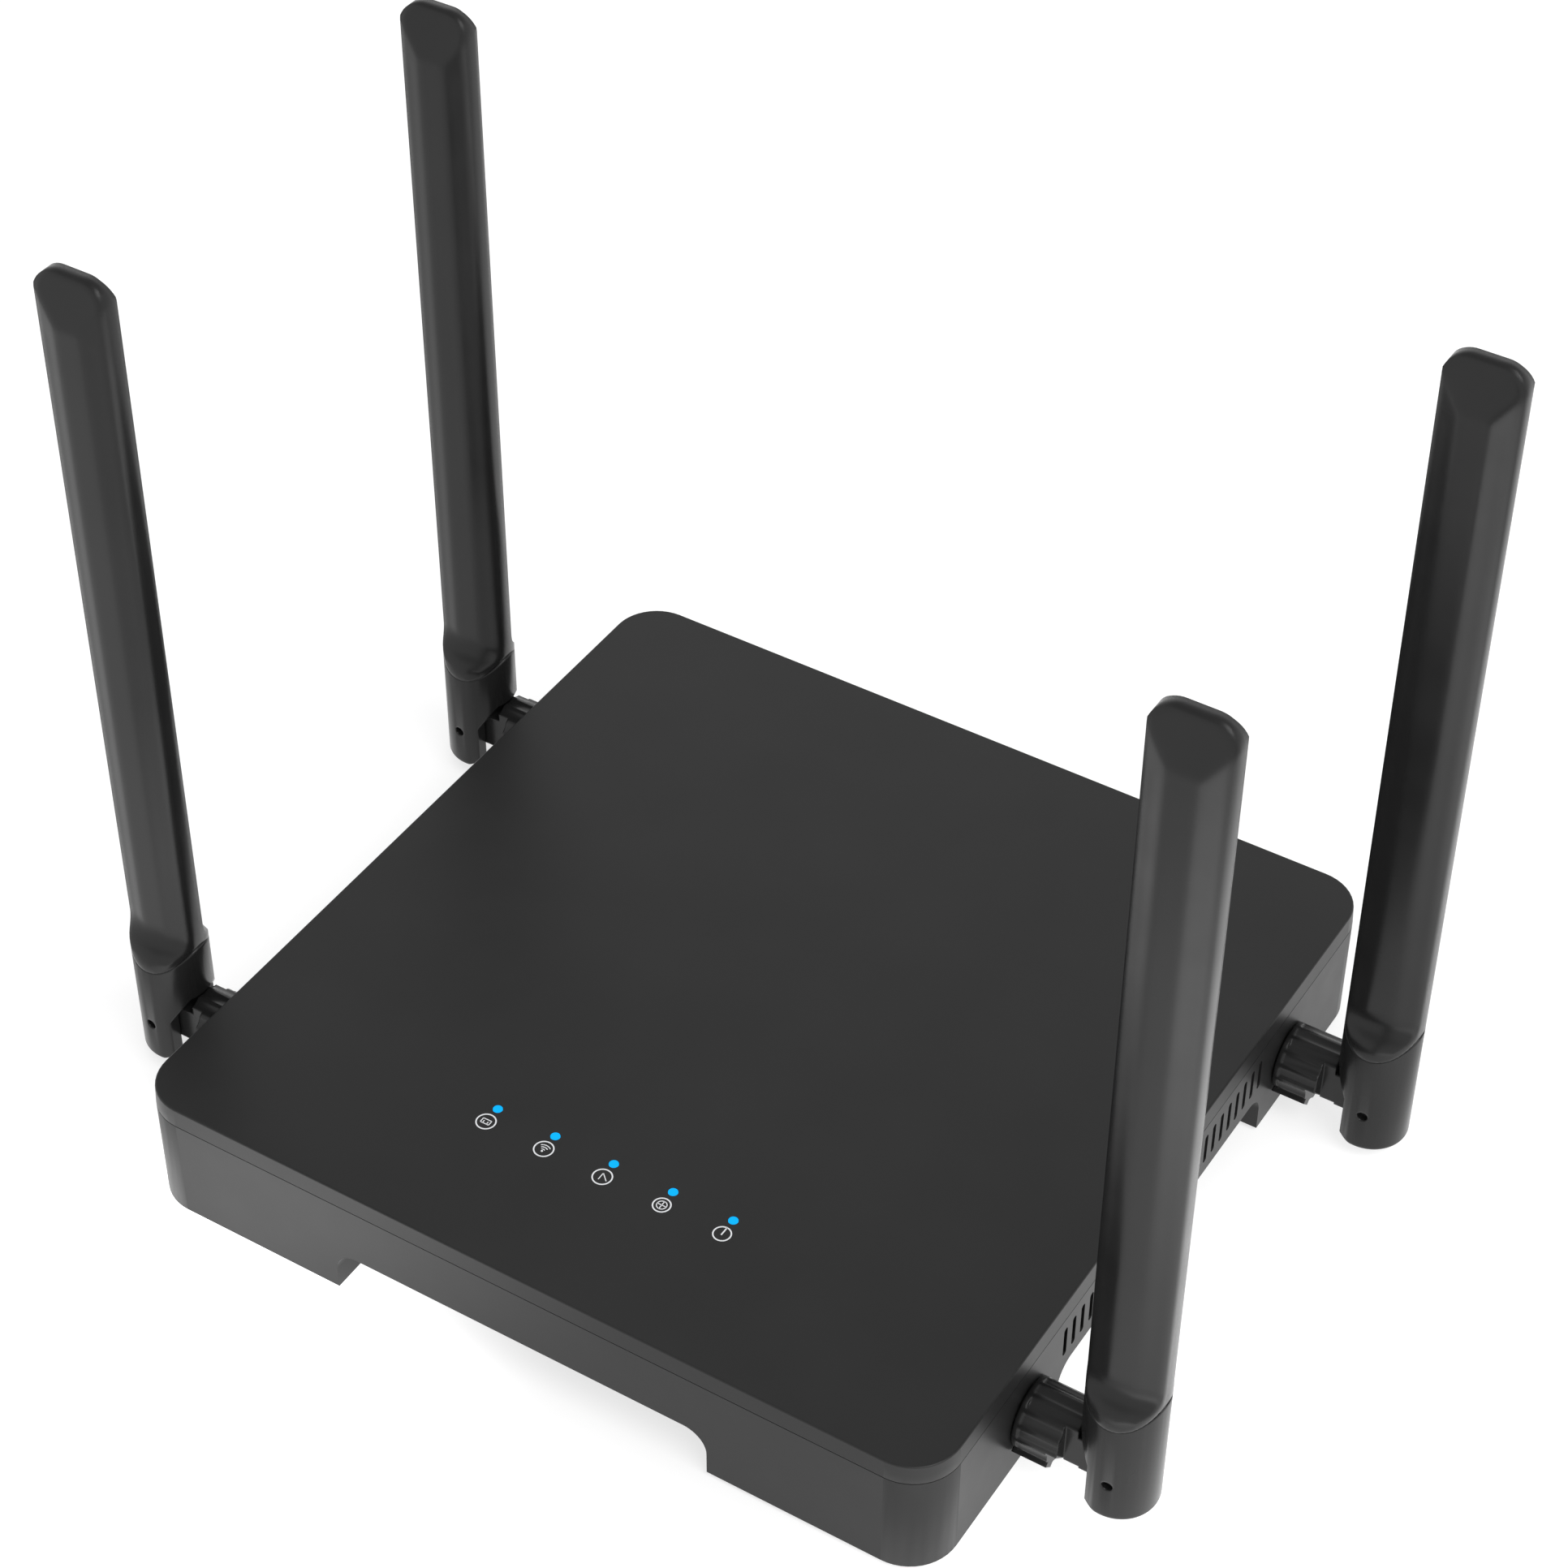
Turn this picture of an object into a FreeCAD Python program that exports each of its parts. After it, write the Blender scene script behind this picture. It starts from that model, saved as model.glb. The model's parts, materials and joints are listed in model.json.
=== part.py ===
"""Four-antenna wireless router, modelled as an assembly of separate pieces.

Frame: millimetres, +Z up, origin under the middle of the case on the surface that it stands on.
The LED row is at the front (-Y), the sockets are at the rear (+Y).
"""

import FreeCAD
import Part
import Sketcher
import math
import os
import re
from FreeCAD import Placement, Rotation, Vector

doc = FreeCAD.newDocument("WirelessRouter")

# ---------------------------------------------------------------- driving sizes
SIZES = [
    # the case
    ("case_side", 160.0),
    ("corner_radius", 9.0),
    ("foot_proud", 1.0),
    ("case_height", 25.2),
    ("cover_rim", 4.0),
    ("rim_draft", 3.0),
    ("edge_break", 0.35),
    ("parting_gap", 0.15),
    ("wall", 2.0),
    ("leg_floor", 2.0),
    ("leg_corner", 7.0),
    ("arch_half_width", 37.7),
    ("arch_height", 9.2),
    ("arch_corner", 4.5),
    ("arch_wall", 1.8),
    ("lip_wall", 1.2),
    ("lip_depth", 1.5),
    ("lip_gap", 0.2),
    ("lip_step_side", 12.0),
    ("lip_step_depth", 8.0),
    ("cover_post_level", 11.3),
    ("bearing_wall", 2.2),
    ("bearing_depth", 1.6),
    ("post_height", 9.5),
    ("pilot_depth", 2.4),
    ("window_gap", 0.2),
    ("inlet_window", 3.75),
    ("vent_pitch", 3.0),
    ("vent_count", 25),
    ("vent_width", 1.2),
    ("vent_length", 6.7),
    ("vent_middle", 15.35),
    ("led_pitch", 12.0),
    ("led_count", 5),
    ("led_row", 50.0),
    ("led_window", 1.8),
    ("label_length", 56.0),
    ("label_depth", 34.0),
    ("label_recess", 0.3),
    ("label_thick", 0.15),
    # fasteners and feet
    ("case_screw_x", 71.5),
    ("case_screw_y", 62.0),
    ("case_screw_radius", 1.5),
    ("case_post_radius", 4.2),
    ("screw_head_radius", 2.9),
    ("screw_head_height", 2.0),
    ("screw_gap", 0.15),
    ("screw_fit", 0.01),
    ("case_screw_length", 16.0),
    ("case_drive_radius", 1.1),
    ("case_drive_depth", 1.0),
    ("board_screw_offset", 33.0),
    ("board_screw_radius", 1.0),
    ("board_screw_reach", 2.0),
    ("board_head_radius", 2.0),
    ("board_head_height", 1.4),
    ("board_drive_radius", 0.8),
    ("board_drive_depth", 0.6),
    ("standoff_radius", 3.0),
    ("foot_x", 60.0),
    ("foot_y", 69.0),
    ("foot_radius", 5.0),
    ("foot_recess", 0.6),
    # the board and what stands on it
    ("board_width", 132.0),
    ("board_front", 57.0),
    ("board_rear", 74.0),
    ("board_thick", 1.6),
    ("board_level", 12.6),
    ("notch_gap", 0.2),
    ("notch_cut", 30.0),
    ("pad_thick", 0.6),
    ("sink_height", 6.0),
    ("sink_base", 1.6),
    ("fin_pitch", 4.0),
    ("fin_gap", 2.6),
    ("can_skin", 0.4),
    ("capacitor_radius", 3.6),
    ("capacitor_height", 7.6),
    ("guide_bar_drop", 3.2),
    ("guide_bar_thick", 1.4),
    ("guide_bar_depth", 2.8),
    ("guide_foot_gap", 1.2),
    # rear sockets and buttons
    ("jack_width", 15.9),
    ("jack_depth", 21.0),
    ("jack_height", 13.4),
    ("jack_level", 7.4),
    ("jack_pitch", 17.2),
    ("lan_start", -42.6),
    ("wan_x", 30.0),
    ("jack_set_back", 0.4),
    ("port_width", 11.9),
    ("port_height", 8.2),
    ("port_depth", 13.5),
    ("latch_width", 6.2),
    ("latch_height", 2.4),
    ("latch_overlap", 1.0),
    ("jack_roof", 1.4),
    ("contact_pitch", 1.02),
    ("contact_width", 0.4),
    ("contact_thick", 0.35),
    ("contact_length", 8.0),
    ("contact_start", 3.5),
    ("contact_slope", 24.0),
    ("inlet_x", 59.0),
    ("inlet_width", 9.0),
    ("inlet_height", 11.0),
    ("inlet_depth", 14.5),
    ("inlet_level", 8.4),
    ("inlet_bore", 3.15),
    ("inlet_pin", 1.0),
    ("inlet_gap", 0.2),
    ("inlet_bore_depth", 10.0),
    ("inlet_pin_length", 9.0),
    ("power_button_x", 46.0),
    ("power_button_radius", 3.2),
    ("power_travel", 2.0),
    ("wps_x", 55.2),
    ("small_button_radius", 1.8),
    ("small_travel", 0.5),
    ("reset_x", 63.0),
    ("reset_radius", 0.9),
    ("button_level", 18.4),
    ("button_gap", 0.2),
    ("button_play", 0.3),
    ("flange_thick", 1.2),
    ("flange_step", 0.8),
    ("stem_clearance", 0.4),
    ("stem_reach", 1.5),
    ("stem_gap", 0.06),
    ("switch_width", 6.4),
    ("switch_depth", 7.0),
    ("switch_above", 2.4),
    # the antennas
    ("antenna_x", 97.4),
    ("antenna_y", 48.0),
    ("hinge_height", 10.2),
    ("pin_outset", 0.8),
    ("pin_radius", 1.0),
    ("pin_gap", 0.05),
    ("barrel_radius", 6.4),
    ("barrel_end", 88.6),
    ("barrel_rim", 90.9),
    ("key_end", 86.7),
    ("key_flat", 4.5),
    ("barrel_gap", 0.3),
    ("flute_depth", 0.3),
    ("flute_radius", 3.0),
    ("flute_count", 14),
    ("shank_radius", 4.5),
    ("shank_gap", 0.08),
    ("shank_start", 73.0),
    ("clip_thick", 0.8),
    ("clip_gap", 0.25),
    ("clip_mouth", 4.0),
    ("clip_radius", 5.6),
    ("lead_bore", 1.0),
    ("lead_radius", 0.65),
    ("lead_bend", 2.6),
    ("lead_inner_end", 40.4),
    ("plug_radius", 1.5),
    ("plug_height", 1.35),
    ("tongue_half", 3.5),
    ("tongue_radius", 3.6),
    ("neck_low", 3.2),
    ("key_start", 5.5),
    ("key_proud", 0.7),
    ("key_half_width", 1.3),
    ("slot_half", 3.8),
    ("slot_top", 16.0),
    ("slot_reach", 3.9),
    ("housing_radius", 7.0),
    ("housing_bottom", 1.8),
    ("housing_round", 1.0),
    ("seam_height", 24.0),
    ("seam_radius", 7.6),
    ("ear_trim", 4.0),
    ("ear_trim_top", 12.0),
    ("brow_reach", 6.2),
    ("brow_height", 17.0),
    ("passage_radius", 1.5),
    ("blade_width", 14.0),
    ("blade_half_thick", 3.25),
    ("bevel_reach", 3.84),
    ("bevel_angle", 17.0),
    ("flare_bottom", 24.6),
    ("flare_top", 32.0),
    ("tip_slope_start", 160.0),
    ("tip_slope_end", 168.9),
    ("tip_half_thick", 1.2),
    ("tip_corner", 4.5),
    ("antenna_top", 169.4),
    ("core_half_width", 4.6),
    ("core_half_thick", 1.5),
    ("core_bottom", 36.0),
    ("core_top", 158.0),
    ("strip_thick", 0.8),
    ("seam_overlap", 3.0),
    ("seat_gap", 0.03),
    ("pin_half_length", 5.4),
]

sheet = doc.addObject("Spreadsheet::Sheet", "Sizes")
for row, (name, value) in enumerate(SIZES, start=1):
    sheet.set(f"A{row}", name)
    sheet.set(f"B{row}", str(value))
    sheet.setAlias(f"B{row}", name)
doc.recompute()


def ref(text):
    """A formula in sheet names, as an expression that the document understands."""
    return re.sub(r"[a-z][a-z_]*", r"Sizes.\g<0>", str(text))


def val(text):
    """What a formula in sheet names comes to."""
    return float(sheet.evalExpression(ref(text)))


def bind(feature, **formulas):
    """Drive properties of a feature from the sheet."""
    for name, text in formulas.items():
        feature.setExpression(name.replace("__", "."), ref(text))


def place(feature, x=0, y=0, z=0):
    """Drive the position of a feature from the sheet."""
    bind(feature, Placement__Base__x=x, Placement__Base__y=y, Placement__Base__z=z)


# ---------------------------------------------------------------- sketches
def new_sketch(body, name, plane, offset=None):
    """A sketch on one of its body's own origin planes, moved off it by a formula."""
    sketch = body.newObject("Sketcher::SketchObject", name)
    support = [f for f in body.Origin.OriginFeatures if f.Role == plane][0]
    sketch.AttachmentSupport = [(support, "")]
    sketch.MapMode = "FlatFace"
    if offset is not None:
        sketch.setExpression(".AttachmentOffset.Base.z", ref(offset))
    return sketch


def constrain(sketch, text, kind, *geometry):
    """A dimension whose value is a formula in sheet names."""
    index = sketch.addConstraint(Sketcher.Constraint(kind, *geometry, val(text)))
    sketch.setExpression(f"Constraints[{index}]", ref(text))


def circle(sketch, radius, x="0", y="0"):
    centre = Vector(val(x), val(y), 0)
    item = sketch.addGeometry(Part.Circle(centre, Vector(0, 0, 1), val(radius)))
    constrain(sketch, radius, "Radius", item)
    constrain(sketch, x, "DistanceX", -1, 1, item, 3)
    constrain(sketch, y, "DistanceY", -1, 1, item, 3)


def polygon(sketch, corners):
    """A closed outline of straight edges, each corner given as two formulas."""
    points = [Vector(val(x), val(y), 0) for x, y in corners]
    count = len(points)
    first = None
    for i in range(count):
        item = sketch.addGeometry(Part.LineSegment(points[i], points[(i + 1) % count]))
        first = item if first is None else first
    for i in range(count):
        following = first + (i + 1) % count
        sketch.addConstraint(Sketcher.Constraint("Coincident", first + i, 2, following, 1))
    for i, (x, y) in enumerate(corners):
        constrain(sketch, x, "DistanceX", -1, 1, first + i, 1)
        constrain(sketch, y, "DistanceY", -1, 1, first + i, 1)


def rectangle(sketch, left, low, right, high):
    polygon(sketch, [(left, low), (right, low), (right, high), (left, high)])


def rounded_rectangle(sketch, left, low, right, high, radius):
    """A rectangle with one corner radius, as four lines and four tangent arcs."""
    x0, y0, x1, y1, r = val(left), val(low), val(right), val(high), val(radius)
    up = Vector(0, 0, 1)
    sides = [
        ((x0 + r, y0), (x1 - r, y0)),
        ((x1, y0 + r), (x1, y1 - r)),
        ((x1 - r, y1), (x0 + r, y1)),
        ((x0, y1 - r), (x0, y0 + r)),
    ]
    centres = [(x1 - r, y0 + r), (x1 - r, y1 - r), (x0 + r, y1 - r), (x0 + r, y0 + r)]
    lines = []
    for start, end in sides:
        lines.append(sketch.addGeometry(Part.LineSegment(Vector(*start, 0), Vector(*end, 0))))
    arcs = []
    for i, centre in enumerate(centres):
        start = (i - 1) * math.pi / 2
        rim = Part.Circle(Vector(*centre, 0), up, r)
        arcs.append(sketch.addGeometry(Part.ArcOfCircle(rim, start, start + math.pi / 2)))
    for i in range(4):
        following = lines[(i + 1) % 4]
        sketch.addConstraint(Sketcher.Constraint("Tangent", lines[i], 2, arcs[i], 1))
        sketch.addConstraint(Sketcher.Constraint("Tangent", arcs[i], 2, following, 1))
    for i in (0, 2):
        sketch.addConstraint(Sketcher.Constraint("Horizontal", lines[i]))
    for i in (1, 3):
        sketch.addConstraint(Sketcher.Constraint("Vertical", lines[i]))
    for i in (1, 2, 3):
        sketch.addConstraint(Sketcher.Constraint("Equal", arcs[0], arcs[i]))
    constrain(sketch, radius, "Radius", arcs[0])
    constrain(sketch, left, "DistanceX", -1, 1, lines[3], 1)
    constrain(sketch, right, "DistanceX", -1, 1, lines[1], 1)
    constrain(sketch, low, "DistanceY", -1, 1, lines[0], 1)
    constrain(sketch, high, "DistanceY", -1, 1, lines[2], 1)


# ---------------------------------------------------------------- body features
def new_body(name):
    body = doc.addObject("PartDesign::Body", name)
    body.Label = name
    return body


def pad(body, sketch, length, symmetric=False, taper=None):
    feature = body.newObject("PartDesign::Pad", sketch.Name + "_pad")
    feature.Profile = sketch
    bind(feature, Length=length)
    if symmetric:
        feature.SideType = "Symmetric"
    if taper is not None:
        bind(feature, TaperAngle=taper)
    return feature


def pocket(body, sketch, length, symmetric=False, reverse=False):
    """Cut a sketch out of the body, and make sure that it really removed material."""
    doc.recompute()
    before = body.Shape.Volume
    feature = body.newObject("PartDesign::Pocket", sketch.Name + "_pocket")
    feature.Profile = sketch
    bind(feature, Length=length)
    feature.Reversed = reverse
    if symmetric:
        feature.SideType = "Symmetric"
    doc.recompute()
    if body.Shape.Volume > before - 1e-3:
        raise RuntimeError(f"{sketch.Name} cuts nothing")
    return feature


def pattern(body, feature, sketch, axis, length, count):
    """Repeat a feature in a straight row."""
    row = body.newObject("PartDesign::LinearPattern", feature.Name + "_row")
    row.Originals = [feature]
    row.Direction = (sketch, [axis])
    bind(row, Length=length, Occurrences=count)
    body.Tip = row
    return row


def edges_where(shape, test):
    return [f"Edge{i}" for i, edge in enumerate(shape.Edges, start=1) if test(edge)]


def is_upright(edge):
    """True for an edge whose two ends are nearly above each other."""
    if len(edge.Vertexes) < 2:
        return False
    ends = [v.Point for v in edge.Vertexes]
    sideways = math.hypot(ends[0].x - ends[1].x, ends[0].y - ends[1].y)
    return sideways < 0.3 * abs(ends[0].z - ends[1].z)


def fillet(body, base, radius, test):
    doc.recompute()
    feature = body.newObject("PartDesign::Fillet", base.Name + "_fillet")
    feature.Base = (base, edges_where(base.Shape, test))
    bind(feature, Radius=radius)
    body.Tip = feature
    return feature


# ---------------------------------------------------------------- simple solids
def box(name, x, y, z, width, depth, height):
    """A box from its middle in X, its front in Y and its underside in Z."""
    item = doc.addObject("Part::Box", name)
    bind(item, Length=width, Width=depth, Height=height)
    place(item, f"{x} - ({width}) / 2", y, z)
    return item


def rod(name, x, y, z, radius, length, direction="z"):
    """A round bar from its start point, along X, Y or Z."""
    item = doc.addObject("Part::Cylinder", name)
    turn = {"x": Rotation(Vector(0, 1, 0), 90), "y": Rotation(Vector(1, 0, 0), -90), "z": Rotation()}
    item.Placement = Placement(Vector(), turn[direction])
    bind(item, Radius=radius, Height=length)
    place(item, x, y, z)
    return item


def fuse(name, items):
    item = doc.addObject("Part::MultiFuse", name)
    item.Shapes = items
    return item


def cut(name, base, *tools):
    tool = tools[0] if len(tools) == 1 else fuse(name + "_tools", list(tools))
    item = doc.addObject("Part::Cut", name)
    item.Base = base
    item.Tool = tool
    return item


def group(name, items):
    """Separate solids that make one node."""
    item = doc.addObject("Part::Compound", name)
    item.Links = items
    return item


NODES = []


def node(item, label=None):
    """Keep an object as a piece of the router, under the name of its file."""
    item.Label = label or item.Name
    NODES.append(item)
    return item


CORNERS = [(-1, -1), (1, -1), (-1, 1), (1, 1)]
LEG = "foot_proud"
TOP = "foot_proud + case_height"
PARTING = "foot_proud + case_height - cover_rim"
BOARD = "foot_proud + board_level"
BOARD_TOP = f"{BOARD} + board_thick"
REAR = "case_side / 2"
HALF = "case_side / 2"
FAR = 400

JACK_X = {f"lan_jack_{i + 1}": f"lan_start + {i} * jack_pitch" for i in range(4)}
JACK_X["wan_jack"] = "wan_x"


# ---------------------------------------------------------------- the case
def square(sketch, inset, radius):
    rounded_rectangle(
        sketch,
        f"-({HALF} - ({inset}))",
        f"-({HALF} - ({inset}))",
        f"{HALF} - ({inset})",
        f"{HALF} - ({inset})",
        radius,
    )


def bottom_shell():
    """The lower casing: four hollow legs, arches between them, vents and the rear panel."""
    body = new_body("bottom_shell")
    outer = new_sketch(body, "shell_outer", "XY_Plane", LEG)
    square(outer, 0, "corner_radius")
    pad(body, outer, "case_height - cover_rim")

    arch = ("-arch_half_width", "-40", "arch_half_width", "foot_proud + arch_height", "arch_corner")
    cross = new_sketch(body, "arch_across", "YZ_Plane")
    rounded_rectangle(cross, *arch)
    pocket(body, cross, FAR, symmetric=True)
    front = new_sketch(body, "arch_front", "XZ_Plane")
    rounded_rectangle(front, *arch)
    pocket(body, front, FAR / 2, reverse=True)

    floor = "foot_proud + arch_height + arch_wall"
    inner = new_sketch(body, "shell_inner", "XY_Plane", floor)
    square(inner, "wall", "corner_radius - wall")
    pocket(body, inner, FAR, reverse=True)

    # the legs are hollow: two in front, and the wide bay behind that holds the sockets
    depth = "arch_height + arch_wall - leg_floor"
    inside = "arch_half_width + arch_wall"
    for name, side in (("left", -1), ("right", 1)):
        leg = new_sketch(body, f"leg_{name}", "XY_Plane", floor)
        near, far = sorted((f"{side} * ({inside})", f"{side} * ({HALF} - wall)"), key=val)
        rounded_rectangle(leg, near, f"-({HALF} - wall)", far, f"-({inside})", "leg_corner")
        pocket(body, leg, depth)
    bay = new_sketch(body, "rear_bay", "XY_Plane", floor)
    rounded_rectangle(
        bay,
        f"-({HALF} - wall)",
        inside,
        f"{HALF} - wall",
        f"{HALF} - wall",
        "leg_corner",
    )
    pocket(body, bay, depth)

    # bearing rings for the antenna barrels, inside the side walls
    for side, name in ((-1, "left"), (1, "right")):
        ring = new_sketch(body, f"bearing_{name}", "YZ_Plane", f"{side} * ({HALF} - wall)")
        for y in (-1, 1):
            circle(ring, "shank_radius + bearing_wall", f"{y} * antenna_y", "foot_proud + hinge_height")
        boss = pad(body, ring, "bearing_depth")
        boss.Reversed = side > 0
        bore = new_sketch(body, f"bore_{name}", "YZ_Plane", f"{side} * ({HALF} + 1)")
        for y in (-1, 1):
            circle(bore, "shank_radius + shank_gap", f"{y} * antenna_y", "foot_proud + hinge_height")
        pocket(body, bore, "wall + 4", reverse=side < 0)

    # posts for the case screws, with the heads let into the legs from below
    posts = new_sketch(body, "case_posts", "XY_Plane", "foot_proud + leg_floor - 0.5")
    holes = new_sketch(body, "case_post_holes", "XY_Plane", LEG)
    heads = new_sketch(body, "screw_head_recess", "XY_Plane", LEG)
    feet = new_sketch(body, "foot_recesses", "XY_Plane", LEG)
    for x, y in CORNERS:
        at = (f"{x} * case_screw_x", f"{y} * case_screw_y")
        circle(posts, "case_post_radius", *at)
        circle(holes, "case_screw_radius + screw_gap", *at)
        circle(heads, "screw_head_radius + screw_gap", *at)
        circle(feet, "foot_radius + 0.05", f"{x} * foot_x", f"{y} * foot_y")
    pad(body, posts, "post_height")
    pocket(body, holes, FAR, reverse=True)
    pocket(body, heads, "screw_head_height + 1", reverse=True)
    pocket(body, feet, "foot_recess", reverse=True)

    # standoffs under the board, with blind holes for its screws
    standoffs = new_sketch(body, "standoffs", "XY_Plane", floor)
    pilots = new_sketch(body, "standoff_pilots", "XY_Plane", BOARD)
    for x, y in CORNERS:
        at = (f"{x} * board_screw_offset", f"{y} * board_screw_offset")
        circle(standoffs, "standoff_radius", *at)
        circle(pilots, "board_screw_radius", *at)
    pad(body, standoffs, f"{BOARD} - ({floor})")
    pocket(body, pilots, "pilot_depth")

    # side vents
    vent = new_sketch(body, "vent", "YZ_Plane")
    first = "-vent_pitch * (vent_count - 1) / 2"
    rounded_rectangle(
        vent,
        f"{first} - vent_width / 2",
        "foot_proud + vent_middle - vent_length / 2",
        f"{first} + vent_width / 2",
        "foot_proud + vent_middle + vent_length / 2",
        "vent_width / 2 - 0.02",
    )
    slit = pocket(body, vent, FAR, symmetric=True)
    pattern(body, slit, vent, "H_Axis", "vent_pitch * (vent_count - 1)", "vent_count")

    # the rear panel's windows, cut from behind
    panel = new_sketch(body, "rear_windows", "XZ_Plane", f"-({HALF} + 1)")
    gap = "window_gap"
    for x in JACK_X.values():
        rectangle(
            panel,
            f"{x} - jack_width / 2 - {gap}",
            f"jack_level - {gap}",
            f"{x} + jack_width / 2 + {gap}",
            f"jack_level + jack_height + {gap}",
        )
    circle(panel, "inlet_window", "inlet_x", "inlet_level + inlet_height / 2")
    circle(panel, "power_button_radius + button_gap", "power_button_x", "button_level")
    circle(panel, "small_button_radius + button_gap", "-wps_x", "button_level")
    circle(panel, "reset_radius", "-reset_x", "button_level")
    pocket(body, panel, "wall + 2", reverse=True)

    # a shallow seat for the rating label under the raised floor
    seat = new_sketch(body, "label_seat", "XY_Plane", "foot_proud + arch_height")
    rounded_rectangle(
        seat,
        "-label_length / 2 - 0.3",
        "-label_depth / 2 - 0.3",
        "label_length / 2 + 0.3",
        "label_depth / 2 + 0.3",
        "0.8",
    )
    pocket(body, seat, "label_recess", reverse=True)
    return node(body)


def top_cover():
    """The lid: a flat top with a slightly drafted rim, a locating lip and screw posts."""
    body = new_body("top_cover")
    outer = new_sketch(body, "cover_outer", "XY_Plane", f"{PARTING} + parting_gap")
    square(outer, 0, "corner_radius")
    shell = pad(body, outer, "cover_rim - parting_gap", taper="-rim_draft")
    top_level = val(TOP)
    fillet(body, shell, "edge_break", lambda e: all(abs(v.Z - top_level) < 1e-4 for v in e.Vertexes))
    inner = new_sketch(body, "cover_inner", "XY_Plane", PARTING)
    square(inner, "wall", "corner_radius - wall")
    pocket(body, inner, "cover_rim - wall", reverse=True)

    lip = new_sketch(body, "lip", "XY_Plane", f"{PARTING} - lip_depth")
    square(lip, "wall + lip_gap", "corner_radius - wall - lip_gap")
    square(lip, "wall + lip_gap + lip_wall", "corner_radius - wall - lip_gap - lip_wall")
    pad(body, lip, "lip_depth + cover_rim - 1")

    # the lip steps back over the sockets, the screw posts hang from the skin
    step = new_sketch(body, "lip_step", "XY_Plane", f"{PARTING} - lip_depth - 1")
    side = f"{HALF} - lip_step_side"
    rectangle(step, f"-({side})", f"{HALF} - lip_step_depth", side, f"{HALF} - wall")
    pocket(body, step, "lip_depth + 2", reverse=True)
    posts = new_sketch(body, "cover_posts", "XY_Plane", "foot_proud + cover_post_level")
    bores = new_sketch(body, "cover_post_bores", "XY_Plane", "foot_proud + cover_post_level - 0.3")
    for x, y in CORNERS:
        circle(posts, "case_post_radius", f"{x} * case_screw_x", f"{y} * case_screw_y")
        circle(bores, "case_screw_radius", f"{x} * case_screw_x", f"{y} * case_screw_y")
    pad(body, posts, "case_height - cover_post_level - wall / 2")
    pocket(body, bores, "9", reverse=True)

    window = new_sketch(body, "led_window_hole", "XY_Plane", PARTING)
    circle(window, "led_window / 2 + 0.02", "-led_pitch * (led_count - 1) / 2", "-led_row")
    hole = pocket(body, window, "cover_rim + 1", reverse=True)
    pattern(body, hole, window, "H_Axis", "led_pitch * (led_count - 1)", "led_count")
    return node(body)


def feet_label_and_screws():
    feet = []
    case_screws = []
    board_screws = []
    for i, (x, y) in enumerate(CORNERS):
        foot_at = (f"{x} * foot_x", f"{y} * foot_y")
        feet.append(rod(f"foot_{i}", *foot_at, "0", "foot_radius", "foot_proud + foot_recess"))
        at = (f"{x} * case_screw_x", f"{y} * case_screw_y")
        head = rod(f"case_head_{i}", *at, "foot_proud + 1", "screw_head_radius", "screw_head_height")
        drive = rod(f"case_drive_{i}", *at, "foot_proud", "case_drive_radius", "1 + case_drive_depth")
        shank = rod(
            f"case_shank_{i}", *at, "foot_proud + 2", "case_screw_radius - screw_fit", "case_screw_length"
        )
        case_screws.append(cut(f"case_screw_{i}", fuse(f"case_screw_blank_{i}", [head, shank]), drive))
        at = (f"{x} * board_screw_offset", f"{y} * board_screw_offset")
        head = rod(f"board_head_{i}", *at, BOARD_TOP, "board_head_radius", "board_head_height")
        drive_level = f"{BOARD_TOP} + board_head_height - board_drive_depth"
        drive = rod(f"board_drive_{i}", *at, drive_level, "board_drive_radius", "2 * board_drive_depth")
        reach = "board_screw_reach"
        length = f"{reach} + board_thick + board_head_height / 2"
        shank = rod(f"board_shank_{i}", *at, f"{BOARD} - {reach}", "board_screw_radius - screw_fit", length)
        board_screws.append(
            cut(f"board_screw_{i}", fuse(f"board_screw_blank_{i}", [head, shank]), drive)
        )
    node(group("rubber_feet", feet))
    node(group("case_screws", case_screws))
    node(group("board_screws", board_screws))
    level = "foot_proud + arch_height + label_recess - label_thick"
    node(box("rating_label", "0", "-label_depth / 2", level, "label_length", "label_depth", "label_thick"))


# ---------------------------------------------------------------- electronics
def main_board():
    """The circuit board, notched at the rear for the sunken sockets."""
    depth = "board_front + board_rear"
    plate = box("board_plate", "0", "-board_front", BOARD, "board_width", depth, "board_thick")
    tools = []
    deep = "3 * board_thick"
    front = f"{REAR} - jack_set_back - jack_depth - notch_gap"
    for name, x in JACK_X.items():
        tools.append(box(f"{name}_notch", x, front, BOARD, "jack_width + 2 * notch_gap", "notch_cut", deep))
    front = f"{REAR} - wall - inlet_gap - inlet_depth - notch_gap"
    width = "inlet_width + 2 * notch_gap"
    tools.append(box("inlet_notch", "inlet_x", front, BOARD, width, "notch_cut", deep))
    for i, (x, y) in enumerate(CORNERS):
        at = (f"{x} * board_screw_offset", f"{y} * board_screw_offset")
        tools.append(rod(f"board_hole_{i}", *at, BOARD, "board_screw_radius + notch_gap", deep))
    node(cut("main_board", plate, *tools))


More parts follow.
